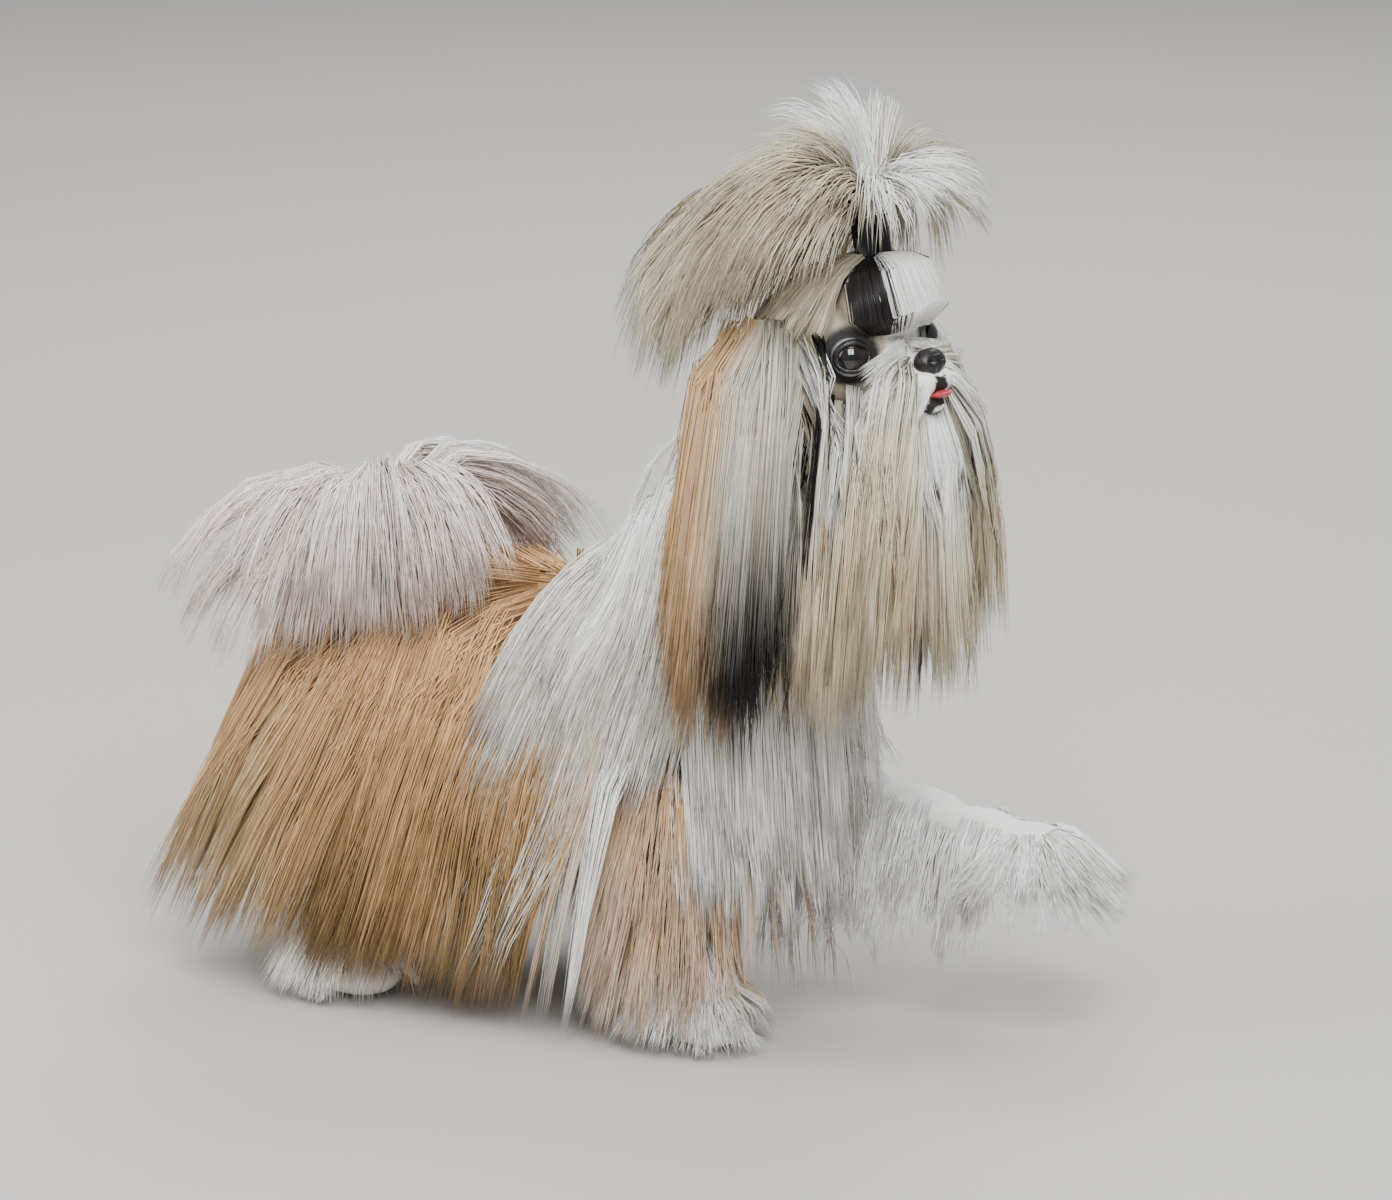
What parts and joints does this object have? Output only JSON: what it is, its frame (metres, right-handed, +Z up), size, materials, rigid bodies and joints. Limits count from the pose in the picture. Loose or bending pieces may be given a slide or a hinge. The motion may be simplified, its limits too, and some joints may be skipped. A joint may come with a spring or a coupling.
{
  "type": "shih tzu dog model",
  "caption": "Still life-size shih tzu in full show coat, trotting with a forepaw lifted, head high, topknot tied up, tail curled over the back",
  "frame": {"origin": "on the floor under the middle of the model's box", "axes": "+X the way the dog faces, +Y to its left, +Z up; soles on z = 0"},
  "size_m": [0.5474, 0.1946, 0.5293],
  "materials": {
    "head_coat": "long silky hair, cream with grey streaks",
    "ear_coat": "long silky hair, gold with dark tips",
    "topknot_coat": "long silky hair, cream and grey-brown",
    "white_coat": "long silky white hair",
    "gold_coat": "long silky hair, gold tan",
    "tail_coat": "long silky warm white hair",
    "leg_coat": "long silky hair, white and gold",
    "eye": "wet dark brown eye",
    "nose_skin": "moist black nose leather",
    "tongue": "moist pink tongue",
    "wrap": "glossy black wrap with pale metal rims"
  },
  "bodies": {
    "root": {"head": "head_coat", "eye_right": "eye", "eye_left": "eye", "nose": "nose_skin", "tongue": "tongue", "topknot_wrap_right": "wrap", "topknot_wrap_left": "wrap", "topknot": "topknot_coat", "ear_right": "ear_coat", "ear_left": "ear_coat", "neck": "white_coat", "torso": "gold_coat", "tail": "tail_coat", "leg_front_right": "leg_coat", "leg_front_left": "white_coat", "leg_rear_right": "leg_coat", "leg_rear_left": "leg_coat"}
  },
  "joints": []
}
